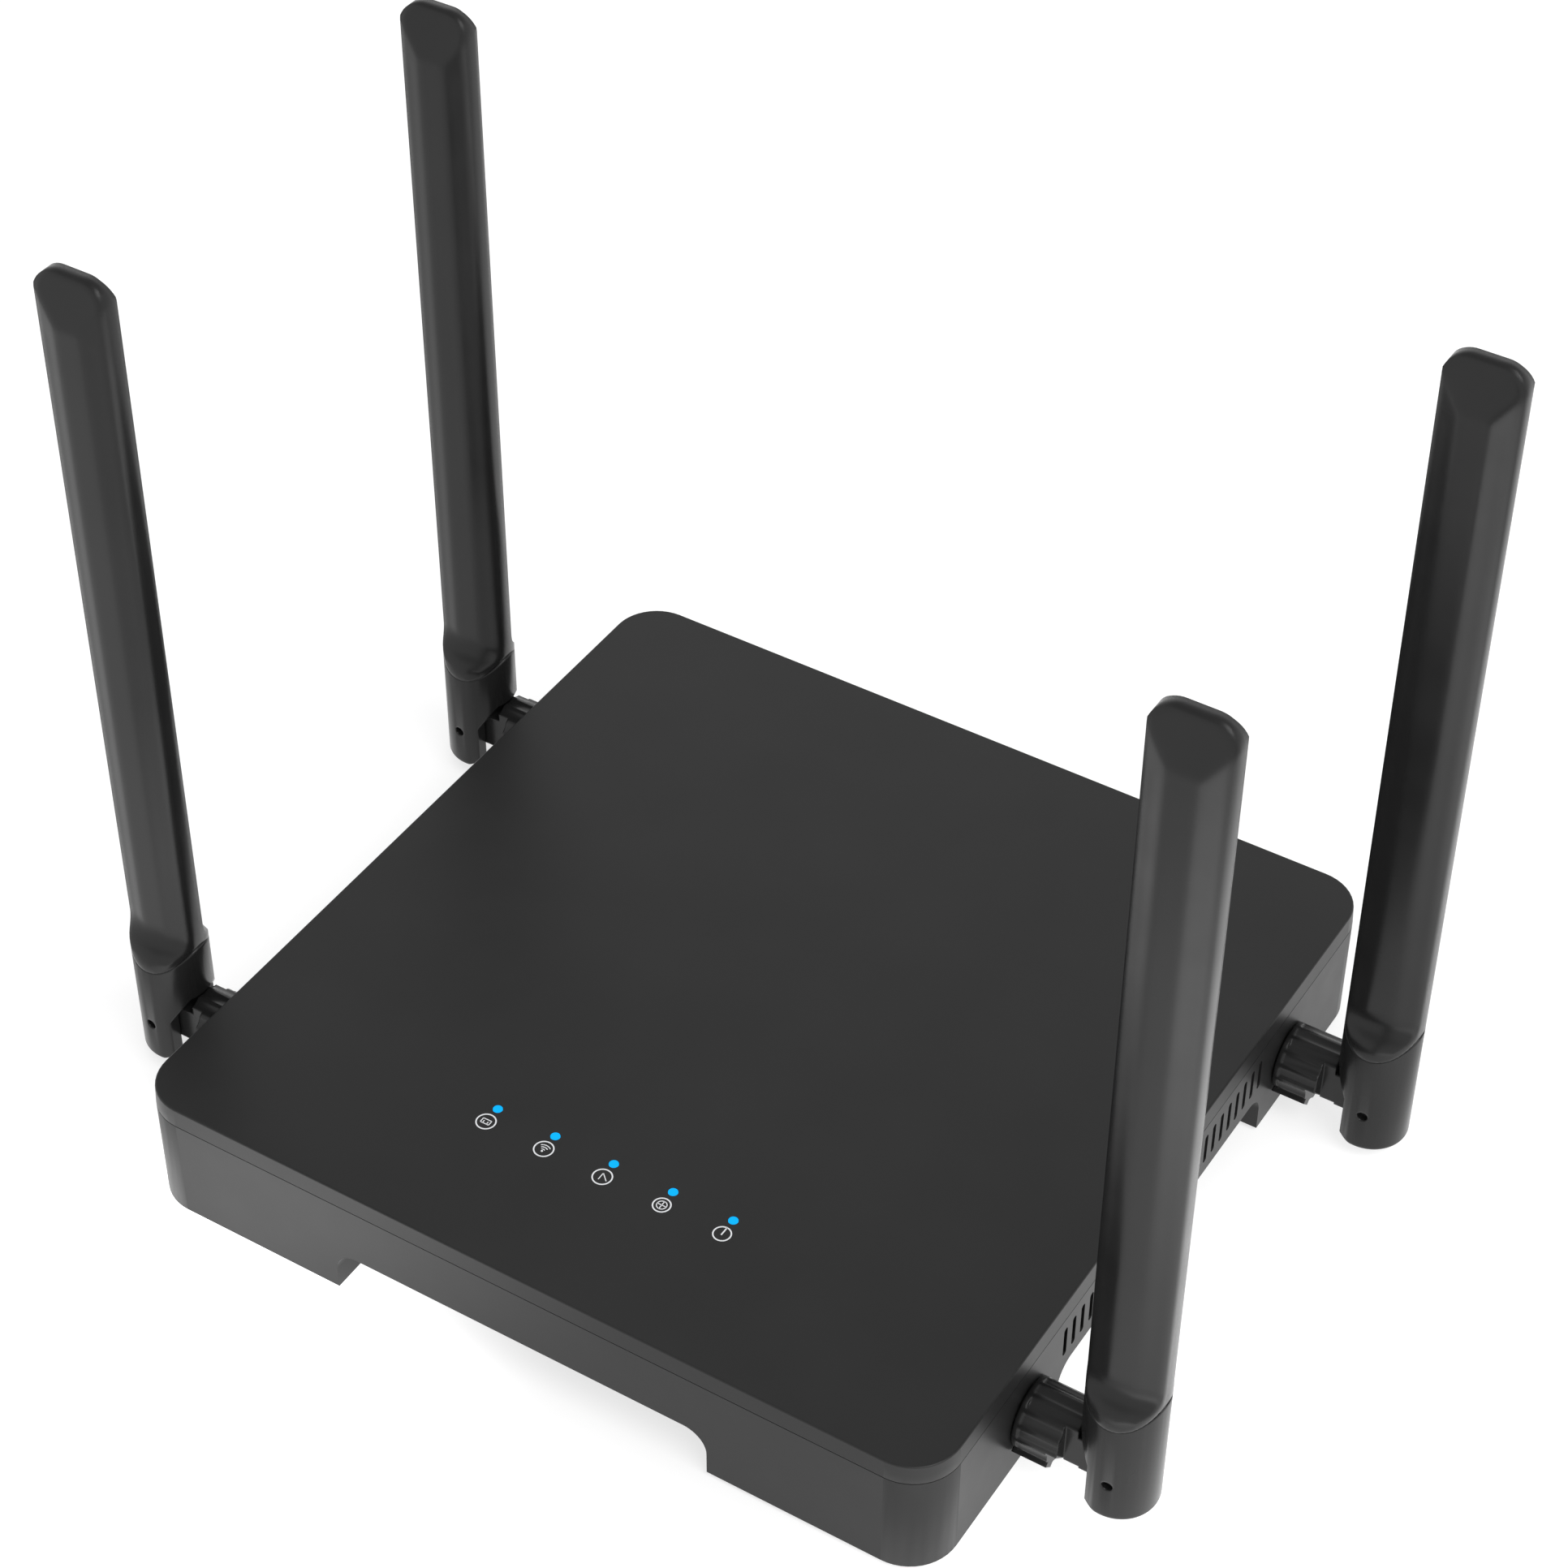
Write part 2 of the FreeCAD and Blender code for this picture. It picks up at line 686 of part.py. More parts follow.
# what stands on the board: middle in X, front edge in Y, width, depth and height
CHIPS = {
    "processor": (-8, -12, 17, 17, 1.2),
    "memory_chip": (-34, -10, 11, 14, 1.0),
    "flash_chip": (-32, -22, 8, 6, 1.6),
}
RADIOS = {
    "radio_chip_near": (29, -18, 9, 9, 0.9),
    "radio_chip_far": (43, -14, 9, 9, 0.9),
}
COILS = {f"coil_{i}": (52 - 10 * i, 16, 6.6, 6.6, 3) for i in range(2)}
TRANSFORMERS = {f"transformer_{i}": (22 * i - 30, 38, 16, 11, 5.4) for i in range(3)}
CAPACITORS = {f"capacitor_{i}": (46 - 8.5 * i, 44) for i in range(3)}
SINK = (-8, -21, 34, 34)
CAN = (36, -24, 32, 26, 3.6)
FINS = 8


def on_board(label, table):
    """Blocks soldered to the board, from a table of places and sizes, as one node."""
    items = []
    for name, (x, y, width, depth, height) in table.items():
        items.append(box(name, x, y, BOARD_TOP, width, depth, height))
    node(group(label, items))


def processor_and_chips():
    on_board("logic_chips", CHIPS)
    on_board("radio_chips", RADIOS)
    on_board("power_inductors", COILS)
    on_board("line_transformers", TRANSFORMERS)
    cans = []
    for name, (x, y) in CAPACITORS.items():
        cans.append(rod(name, x, y, BOARD_TOP, "capacitor_radius", "capacitor_height"))
    node(group("electrolytic_capacitors", cans))

    x, y, width, depth, height = CHIPS["processor"]
    pad_level = f"{BOARD_TOP} + {height}"
    node(box("thermal_pad", x, y, pad_level, width - 1, depth - 1, "pad_thick"))
    sink_level = f"{pad_level} + pad_thick"
    x, y, width, depth = SINK
    sink = box("sink_block", x, y, sink_level, width, depth, "sink_height")
    slots = []
    for i in range(FINS):
        slot_x = f"{x} + {i - (FINS - 1) / 2} * fin_pitch"
        slot = (y - depth, f"{sink_level} + sink_base", "fin_gap", 3 * depth, "sink_height")
        slots.append(box(f"sink_slot_{i}", slot_x, *slot))
    node(cut("heat_sink", sink, *slots))

    x, y, width, depth, height = CAN
    can = box("can_block", x, y, BOARD_TOP, width, depth, height)
    room = (f"{width} - 2 * can_skin", f"{depth} - 2 * can_skin", f"{height} - can_skin + 1")
    inside = box("can_inside", x, f"{y} + can_skin", f"{BOARD_TOP} - 1", *room)
    node(cut("shield_can", can, inside))


def lights():
    """Five surface LEDs on the board, and one clear piece that takes their light to the lid."""
    leds = []
    pillars = []
    bar_level = f"{TOP} - wall - guide_bar_drop"
    foot = f"{BOARD_TOP} + guide_foot_gap"
    for i in range(5):
        x = f"{i - 2} * led_pitch"
        leds.append(box(f"led_{i}", x, "-led_row - 0.5", BOARD_TOP, "1.8", "1", "0.8"))
        pillars.append(
            rod(f"pillar_{i}", x, "-led_row", foot, "led_window / 2 - 0.04", f"{TOP} - ({foot})")
        )
    node(group("status_leds", leds))
    bar_front = "-led_row - guide_bar_depth / 2"
    size = ("led_pitch * (led_count - 1) + 4", "guide_bar_depth", "guide_bar_thick")
    bar = box("pillar_bar", "0", bar_front, bar_level, *size)
    node(fuse("light_guide", [bar] + pillars))


# ---------------------------------------------------------------- rear sockets
def network_jack(name, x):
    """A modular socket: plug cavity above, latch channel below, open to the rear."""
    rear = f"{REAR} - jack_set_back"
    front = f"{rear} - jack_depth"
    block = box(f"{name}_block", x, front, "jack_level", "jack_width", "jack_depth", "jack_height")
    cavity_level = "jack_level + jack_height - jack_roof - port_height"
    inner = f"{rear} - port_depth"
    length = "2 * port_depth"
    cavity = box(f"{name}_cavity", x, inner, cavity_level, "port_width", length, "port_height")
    latch_level = f"{cavity_level} - latch_height + latch_overlap"
    latch = box(f"{name}_latch", x, inner, latch_level, "latch_width", length, "latch_height")
    node(cut(name, block, cavity, latch))


def jack_contacts():
    """Eight sprung wires in each socket, sloping down from the roof of the cavity."""
    wires = []
    roof = val("jack_level + jack_height - jack_roof - 0.05")
    start = val(f"{REAR} - jack_set_back - contact_start")
    width, length, thick = val("contact_width"), val("contact_length"), val("contact_thick")
    pitch, slope = val("contact_pitch"), val("contact_slope")
    for x in JACK_X.values():
        for i in range(8):
            wire = Part.makeBox(width, length, thick, Vector(-width / 2, -length, -thick))
            wire.rotate(Vector(), Vector(1, 0, 0), slope)
            wire.translate(Vector(val(x) + (i - 3.5) * pitch, start, roof))
            wires.append(wire)
    item = doc.addObject("Part::Feature", "jack_contacts")
    item.Shape = Part.makeCompound(wires)
    node(item)


def power_inlet():
    """The coaxial power socket: a bored block behind the rear panel, with its centre pin."""
    rear = f"{REAR} - wall - inlet_gap"
    size = ("inlet_width", "inlet_depth", "inlet_height")
    block = box("inlet_block", "inlet_x", f"{rear} - inlet_depth", "inlet_level", *size)
    middle = "inlet_level + inlet_height / 2"
    at = ("inlet_x", f"{rear} - inlet_bore_depth", middle)
    bore = rod("inlet_bore_tool", *at, "inlet_bore", "2 * inlet_bore_depth", "y")
    node(cut("power_inlet", block, bore))
    node(rod("inlet_pin", *at, "inlet_pin", "inlet_pin_length", "y"))


def push_button(name, switch_name, x, radius, travel, stem, set_back="button_gap"):
    """A round cap that slides in the rear panel, and the switch block that its stem enters."""
    flange_front = f"{REAR} - wall - button_play - flange_thick"
    switch_rear = f"{flange_front} - {travel} - stem_clearance"
    stem_front = f"{switch_rear} - stem_reach"
    at = (x, flange_front, "button_level")
    cap = rod(f"{name}_cap", *at, radius, f"{REAR} - {set_back} - ({flange_front})", "y")
    flange = rod(f"{name}_flange", *at, f"{radius} + flange_step", "flange_thick", "y")
    length = f"{flange_front} - ({stem_front}) + flange_thick / 2"
    shaft = rod(f"{name}_stem", x, stem_front, "button_level", stem, length, "y")
    node(fuse(name, [cap, flange, shaft]))
    height = f"button_level + switch_above - ({BOARD_TOP})"
    size = ("switch_width", "switch_depth", height)
    block = box(f"{switch_name}_block", x, f"{switch_rear} - switch_depth", BOARD_TOP, *size)
    bore_front = f"{stem_front} - {travel} - stem_clearance"
    at = (x, bore_front, "button_level")
    bore = rod(f"{switch_name}_bore", *at, f"{stem} + stem_gap", "switch_depth", "y")
    node(cut(switch_name, block, bore))


# ---------------------------------------------------------------- antennas
# An antenna's pieces are drawn about the blade's own axis: the case is at -X, and the
# swivel axis runs along X at the height of the hinge. Each corner gets its own set; the
# sets on the left are turned half round.
AXIS = "foot_proud + hinge_height"
SEAM = "foot_proud + seam_height"


def vertical_plane(angle):
    """A plane that stands upright, its first axis turned from +X by an angle in degrees."""
    return Placement(Vector(), Rotation(Vector(0, 0, 1), angle) * Rotation(Vector(1, 0, 0), 90))


def slab(name, half_low, half_high, angle, sloped_tip):
    """An upright slab whose half depth swells in an S curve where it meets the housing.

    Its outline is drawn across the slab and extruded along it. The plain slabs bevel the
    blade; the one with the sloped tip also gives it its thickness and its hipped end.
    """
    low, high = val(half_low), val(half_high)
    z0 = val(f"{SEAM} - seam_overlap")
    z1, z2 = val("foot_proud + flare_bottom"), val("foot_proud + flare_top")
    step, rise = low - high, z2 - z1
    radius = (rise**2 + step**2) / (4 * step)
    half_turn = math.atan2(step, rise)
    dip = radius * (1 - math.cos(half_turn))
    lift = radius * math.sin(half_turn)
    middle = Vector((low + high) / 2, (z1 + z2) / 2, 0)
    upper = Vector(high + dip, z2 - lift, 0)
    lower = Vector(low - dip, z1 + lift, 0)
    top = val("foot_proud + antenna_top")
    side = [Vector(low, z0, 0), Vector(low, z1, 0), lower, middle, upper, Vector(high, z2, 0)]
    if sloped_tip:
        tip = val("tip_half_thick")
        side.append(Vector(high, val("foot_proud + tip_slope_start"), 0))
        side.append(Vector(tip, val("foot_proud + tip_slope_end"), 0))
        side.append(Vector(tip, top + 1, 0))
    else:
        side.append(Vector(high, top + 1, 0))
    edges = []
    for sign in (1, -1):
        p = [Vector(sign * v.x, v.y, 0) for v in side]
        edges.append(Part.LineSegment(p[0], p[1]))
        edges.append(Part.Arc(p[1], p[2], p[3]))
        edges.append(Part.Arc(p[3], p[4], p[5]))
        edges += [Part.LineSegment(a, b) for a, b in zip(p[5:], p[6:])]
    edges.append(Part.LineSegment(side[0], Vector(-side[0].x, side[0].y, 0)))
    edges.append(Part.LineSegment(side[-1], Vector(-side[-1].x, side[-1].y, 0)))
    outline = doc.addObject("Part::Feature", name + "_outline")
    outline.Shape = Part.Wire(Part.__sortEdges__([e.toShape() for e in edges]))
    outline.Placement = vertical_plane(angle)
    item = doc.addObject("Part::Extrusion", name)
    item.Base = outline
    item.DirMode = "Normal"
    item.LengthFwd = 40
    item.Solid = True
    item.Symmetric = True
    return item


def antenna_blade(name):
    """The paddle: an eight-sided bar with a hipped tip, flaring to a round foot at the seam."""
    low = f"{SEAM} - seam_overlap"
    height = f"antenna_top + foot_proud - ({low})"
    column = rod(f"{name}_column", "0", "0", low, "blade_width / 2", height)
    front = new_body(f"{name}_front")
    face = new_sketch(front, f"{name}_face", "XZ_Plane")
    rounded_rectangle(
        face,
        "-blade_width / 2",
        f"{SEAM} - 20",
        "blade_width / 2",
        "foot_proud + antenna_top",
        "tip_corner",
    )
    pad(front, face, 40, symmetric=True)
    foot = new_sketch(front, f"{name}_foot", "XZ_Plane")
    rectangle(foot, "-20", f"{SEAM} - 25", "20", f"{SEAM} + seam_radius")
    pocket(front, foot, 60, symmetric=True)
    drum = new_sketch(front, f"{name}_drum", "XZ_Plane")
    circle(drum, "seam_radius", "0", f"{SEAM} + seam_radius")
    pad(front, drum, 40, symmetric=True)
    depth = slab(f"{name}_depth", "housing_radius", "blade_half_thick", 90, True)
    bevels = []
    for sign, word in ((-1, "left"), (1, "right")):
        turn = 90 + sign * val("bevel_angle")
        bevels.append(slab(f"{name}_bevel_{word}", "housing_radius", "bevel_reach", turn, False))
    solid = doc.addObject("Part::MultiCommon", f"{name}_solid")
    solid.Shapes = [front, column, depth] + bevels
    core = box(
        f"{name}_core_space",
        "0",
        "-core_half_thick",
        f"{SEAM} - 5",
        "2 * core_half_width",
        "2 * core_half_thick",
        "core_top - seam_height + 5",
    )
    return cut(name, solid, core)


def antenna_housing(name):
    """The fork that carries the blade: a round bar slotted from below and from the case side."""
    body = new_body(name)
    bar = new_sketch(body, f"{name}_bar", "XY_Plane", "foot_proud + housing_bottom")
    circle(bar, "housing_radius")
    pad(body, bar, "seam_height - housing_bottom + 5")
    seat = new_sketch(body, f"{name}_seat", "XZ_Plane")
    circle(seat, "seam_radius + seat_gap", "0", f"{SEAM} + seam_radius")
    last = pocket(body, seat, 40, symmetric=True)
    bottom = val("foot_proud + housing_bottom")
    last = fillet(body, last, "housing_round", lambda e: all(abs(v.Z - bottom) < 1e-4 for v in e.Vertexes))
    slot = new_sketch(body, f"{name}_slot", "XZ_Plane")
    rectangle(slot, "-20", "-5", "pin_outset + slot_reach", "foot_proud + slot_top")
    pocket(body, slot, "2 * slot_half", symmetric=True)
    trim = new_sketch(body, f"{name}_trim", "XZ_Plane")
    polygon(
        trim,
        [
            ("-20", "-5"),
            ("pin_outset - 1", "-5"),
            ("pin_outset - 1", "foot_proud + housing_bottom"),
            ("pin_outset - ear_trim", "foot_proud + housing_bottom + 1.8"),
            ("pin_outset - ear_trim", "foot_proud + ear_trim_top"),
            ("-brow_reach", "foot_proud + brow_height"),
            ("-20", "foot_proud + brow_height"),
        ],
    )
    pocket(body, trim, 40, symmetric=True)
    bore = new_sketch(body, f"{name}_pin_bore", "XZ_Plane")
    circle(bore, "pin_radius", "pin_outset", AXIS)
    pocket(body, bore, 40, symmetric=True)
    passage = new_sketch(body, f"{name}_passage", "XY_Plane", f"{SEAM} + 5")
    circle(passage, "passage_radius")
    pocket(body, passage, "seam_height + 5 - slot_top + 1")
    return body


def swivel_barrel(name):
    """The fluted barrel on the case wall, its shank inside the case and its tongue in the fork."""
    body = new_body(name)

    def section(word, start):
        """A sketch square to the swivel axis, with its origin on that axis."""
        sketch = new_sketch(body, f"{name}_{word}", "YZ_Plane", f"{start} - antenna_x")
        sketch.setExpression(".AttachmentOffset.Base.y", ref(AXIS))
        return sketch

    sleeve_start = "case_side / 2 + barrel_gap"
    sleeve = section("sleeve", sleeve_start)
    circle(sleeve, "barrel_radius")
    pad(body, sleeve, f"barrel_rim - ({sleeve_start})")
    shank = section("shank", "shank_start")
    circle(shank, "shank_radius")
    pad(body, shank, f"{sleeve_start} - shank_start + 0.5")
    tongue = new_sketch(body, f"{name}_tongue", "XZ_Plane")
    rectangle(
        tongue,
        "barrel_end - antenna_x - 0.5",
        f"{AXIS} - tongue_radius",
        "pin_outset",
        f"{AXIS} + tongue_radius",
    )
    pad(body, tongue, "2 * tongue_half", symmetric=True)
    eye = new_sketch(body, f"{name}_eye", "XZ_Plane")
    circle(eye, "tongue_radius", "pin_outset", AXIS)
    pad(body, eye, "2 * tongue_half", symmetric=True)

    # the flats that let the fork's ears pass: both cheeks and the underside of the neck
    cheeks = section("cheeks", "barrel_end")
    polygon(
        cheeks,
        [
            ("-9", "-9"),
            ("9", "-9"),
            ("9", "9"),
            ("tongue_half", "9"),
            ("tongue_half", "-neck_low"),
            ("-tongue_half", "-neck_low"),
            ("-tongue_half", "9"),
            ("-9", "9"),
        ],
    )
    pocket(body, cheeks, "barrel_rim - barrel_end + 0.5", reverse=True)

    flute = section("flute", f"{sleeve_start} + 1")
    circle(flute, "flute_radius", "0", "barrel_radius - flute_depth + flute_radius")
    groove = pocket(body, flute, FAR, reverse=True)
    ring = body.newObject("PartDesign::PolarPattern", f"{name}_flutes")
    ring.Originals = [groove]
    ring.Axis = (flute, ["N_Axis"])
    ring.Angle = 360
    bind(ring, Occurrences="flute_count")
    body.Tip = ring

    # the key under the front of the barrel, and the flat beyond its end
    slant = math.sqrt(0.5)
    key = section("key", sleeve_start)

    def slanted(sketch, near, far, half_width):
        corners = [(near, -half_width), (far, -half_width), (far, half_width), (near, half_width)]
        polygon(sketch, [(f"{-slant * (r - w)}", f"{-slant * (r + w)}") for r, w in corners])

    key_far = val("barrel_radius + key_proud")
    slanted(key, val("key_start"), key_far, val("key_half_width"))
    pad(body, key, f"key_end - ({sleeve_start})")
    flat = section("flat", "key_end")
    slanted(flat, val("key_flat"), 9, 8)
    pocket(body, flat, "barrel_end - key_end", reverse=True)

    bore = new_sketch(body, f"{name}_pin_bore", "XZ_Plane")
    circle(bore, "pin_radius + pin_gap", "pin_outset", AXIS)
    pocket(body, bore, 40, symmetric=True)
    lead = section("lead_bore", "shank_start")
    circle(lead, "lead_bore")
    pocket(body, lead, "21", reverse=True)
    groove = section("clip_groove", "case_side / 2 - wall - bearing_depth - clip_gap - clip_thick - 0.05")
    circle(groove, "shank_radius + 0.5")
    circle(groove, "shank_radius - 0.6")
    pocket(body, groove, "clip_thick + 0.1", reverse=True)
    return body


def retaining_clip(name):
    """The open ring that holds the shank behind the case wall."""
    start = "case_side / 2 - wall - bearing_depth - clip_gap - clip_thick - antenna_x"
    ring = rod(f"{name}_ring", start, "0", AXIS, "clip_radius", "clip_thick", "x")
    hole = rod(f"{name}_hole", f"{start} - 1", "0", AXIS, "shank_radius - 0.58", "clip_thick + 2", "x")
    mouth = box(
        f"{name}_mouth", start, "-clip_mouth / 2", f"{AXIS} - 9", "3 * clip_thick", "clip_mouth", "9"
    )
    return cut(name, ring, hole, mouth)


def hinge_pin(name):
    """The pin pressed into the fork's ears, its ends set back inside them."""
    at = ("pin_outset", "-pin_half_length", AXIS)
    return group(name, [rod(f"{name}_bar", *at, "pin_radius", "2 * pin_half_length", "y")])


def antenna_core(name):
    """The radiating strip and the last stretch of its lead, inside the blade."""
    size = ("2 * core_half_width", "strip_thick", "core_top - core_bottom - 4")
    strip = box(f"{name}_strip", "0", "-strip_thick / 2", "foot_proud + core_bottom", *size)
    length = "core_bottom - slot_top + 1"
    lead = rod(f"{name}_stub", "0", "0", "foot_proud + slot_top + 0.6", "lead_radius", length)
    return fuse(name, [strip, lead])


def antenna_lead(name):
    """The coaxial lead from the hinge, through the barrel and up over the edge of the board."""
    axis = val(AXIS)
    over_board = val(f"{BOARD_TOP} + plug_height + lead_radius")
    route = [(-4.4, axis), (-27.2, axis), (-30.4, over_board), (-val("lead_inner_end"), over_board)]
    reach = val("lead_bend")
    points = [Vector(x, 0, z) for x, z in route]
    edges = []
    start = points[0]
    for before, corner, after in zip(points, points[1:], points[2:]):
        back = (before - corner).normalize()
        onward = (after - corner).normalize()
        half_turn = (math.pi - back.getAngle(onward)) / 2
        bow = reach / math.cos(half_turn) * (1 - math.sin(math.pi / 2 - half_turn))
        inward = (back + onward).normalize()
        entry = corner + back * reach
        leave = corner + onward * reach
        edges.append(Part.LineSegment(start, entry).toShape())
        radius = reach / math.tan(half_turn)
        depth = radius / math.cos(half_turn) - radius
        edges.append(Part.Arc(entry, corner + inward * depth, leave).toShape())
        start = leave
    edges.append(Part.LineSegment(start, points[-1]).toShape())
    path = Part.Wire(edges)
    profile = Part.Wire(Part.Circle(points[0], Vector(1, 0, 0), val("lead_radius")).toShape())
    item = doc.addObject("Part::Feature", name)
    item.Shape = path.makePipeShell([profile], True, True)
    return item


def antennas():
    makers = {
        "antenna_blade": antenna_blade,
        "antenna_housing": antenna_housing,
        "swivel_barrel": swivel_barrel,
        "retaining_clip": retaining_clip,
        "hinge_pin": hinge_pin,
        "antenna_core": antenna_core,
        "antenna_lead": antenna_lead,
    }
    words = {(-1, -1): "front_left", (1, -1): "front_right", (-1, 1): "rear_left", (1, 1): "rear_right"}
    plugs = []
    for i, (x, y) in enumerate(CORNERS):
        for word, make in makers.items():
            item = make(f"{word}_{words[x, y]}")
            doc.recompute()
            turn = Rotation(Vector(0, 0, 1), 0 if x > 0 else 180)
            corner = Placement(Vector(x * val("antenna_x"), y * val("antenna_y"), 0), turn)
            item.Placement = corner * item.Placement
            node(item)
        at = (f"{x} * (antenna_x - lead_inner_end)", f"{y} * antenna_y")
        plugs.append(rod(f"rf_plug_{i}", *at, BOARD_TOP, "plug_radius", "plug_height"))
    node(group("rf_plugs", plugs))


# ---------------------------------------------------------------- the whole router
bottom_shell()
top_cover()
feet_label_and_screws()
main_board()
processor_and_chips()
lights()
for jack, jack_x in JACK_X.items():
    network_jack(jack, jack_x)
jack_contacts()
power_inlet()
push_button("power_button", "power_switch", "power_button_x", "power_button_radius", "power_travel", "1.4")
push_button("wps_button", "wps_switch", "-wps_x", "small_button_radius", "small_travel", "0.8")
push_button(
    "reset_button", "reset_switch", "-reset_x", "reset_radius - 0.15", "small_travel", "0.5", set_back="1.2"
)
antennas()
doc.recompute()

for thing in doc.Objects:
    if "Invalid" in thing.State or "Error" in thing.State:
        raise RuntimeError(f"{thing.Name} failed: {thing.State}")
for thing in NODES:
    if thing.Shape.isNull() or not thing.Shape.isValid():
        raise RuntimeError(f"{thing.Label} has no valid shape")

os.makedirs("parts", exist_ok=True)
for thing in NODES:
    thing.Shape.exportStep(f"parts/{thing.Label}.step")
    print(f"{thing.Label:34s} {len(thing.Shape.Solids):3d} solids {thing.Shape.Volume:12.2f} mm3")
print(len(NODES), "pieces")
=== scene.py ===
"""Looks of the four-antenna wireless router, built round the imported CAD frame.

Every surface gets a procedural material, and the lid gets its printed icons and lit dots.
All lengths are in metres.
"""

import json
import math

import bmesh
import bpy
from mathutils import Euler, Matrix, Vector


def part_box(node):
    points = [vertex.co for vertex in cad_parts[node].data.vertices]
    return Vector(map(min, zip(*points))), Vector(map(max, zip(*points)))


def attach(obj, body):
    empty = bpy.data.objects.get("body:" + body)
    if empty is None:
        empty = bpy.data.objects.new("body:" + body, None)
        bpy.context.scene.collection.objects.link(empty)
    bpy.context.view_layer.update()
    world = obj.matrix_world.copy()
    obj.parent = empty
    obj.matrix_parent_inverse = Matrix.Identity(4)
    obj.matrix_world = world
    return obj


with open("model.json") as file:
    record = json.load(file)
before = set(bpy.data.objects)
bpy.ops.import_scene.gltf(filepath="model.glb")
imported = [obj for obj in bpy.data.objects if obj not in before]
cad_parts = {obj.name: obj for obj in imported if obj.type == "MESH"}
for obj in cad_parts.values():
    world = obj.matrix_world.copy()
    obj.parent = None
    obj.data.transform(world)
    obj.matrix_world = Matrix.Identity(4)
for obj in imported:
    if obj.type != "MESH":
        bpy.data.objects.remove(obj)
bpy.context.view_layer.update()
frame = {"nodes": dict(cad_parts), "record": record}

MM = 0.001

# the floor's own glow, and its brighter pools: place, reach and extra strength
GLOW = 0.68
POOLS = (
    ((-0.060, -0.112, 0.0), 0.080, 1.2),
    ((0.135, -0.185, 0.0), 0.120, 2.4),
    ((0.250, -0.050, 0.0), 0.220, 1.9),
)
FLOOR_REACH = 4.0
# the white surroundings: brighter up to the first height, dimmer above the second
SKY = (0.45, 0.72, 1.12, 0.62)
# the printed signs: stroke widths, ring radii, ink thickness, distance in front of the lights
THIN = 0.17 * MM
BOLD = 0.25 * MM
WIDE_RING = 1.72 * MM
SMALL_RING = 1.55 * MM
INK_THICK = 0.03 * MM
ICON_DROP = 3.5 * MM
LED_RADIUS = 0.9 * MM
CORNERS = ("front_left", "front_right", "rear_left", "rear_right")

# plastics: darker shade, lighter shade, roughness, scale of the grain and its depth
PLASTICS = {
    "foot_rubber": ((0.02, 0.02, 0.02), (0.03, 0.03, 0.03), (0.7, 0.85), 900, 0.00002),
    "chip_epoxy": ((0.012, 0.012, 0.013), (0.02, 0.02, 0.021), (0.5, 0.65), 2600),
    "pad_silicone": ((0.22, 0.27, 0.36), (0.28, 0.33, 0.42), (0.6, 0.8), 1200, 0.00001),
    "ferrite": ((0.06, 0.06, 0.065), (0.09, 0.09, 0.095), (0.6, 0.75), 1700, 0.00001),
    "led_lens": ((0.5, 0.7, 0.8), (0.6, 0.8, 0.9), (0.15, 0.25)),
    "socket_plastic": ((0.012, 0.012, 0.013), (0.016, 0.016, 0.017), (0.28, 0.36)),
    "switch_plastic": ((0.03, 0.03, 0.032), (0.045, 0.045, 0.047), (0.45, 0.55)),
    "lead_sheath": ((0.02, 0.02, 0.021), (0.03, 0.03, 0.031), (0.35, 0.45), 1200),
}
# metals: colour, roughness and the stretch of the tool marks along each axis
METALS = {
    "screw_steel": ((0.42, 0.42, 0.43), (0.25, 0.4), (1, 1, 12)),
    "sink_aluminium": ((0.75, 0.75, 0.77), (0.25, 0.4), (12, 1, 1)),
    "tinplate": ((0.7, 0.7, 0.69), (0.2, 0.35), (1, 8, 1)),
    "capacitor_can": ((0.3, 0.31, 0.36), (0.3, 0.4), (1, 1, 0.1)),
    "contact_gold": ((0.9, 0.65, 0.25), (0.18, 0.3), (1, 0.2, 1)),
}


# ---------------------------------------------------------------- materials
def set_range(node, numbers):
    """Set a Map Range node: from its first two numbers to its last two."""
    for socket, number in zip(("From Min", "From Max", "To Min", "To Max"), numbers):
        node.inputs[socket].default_value = number


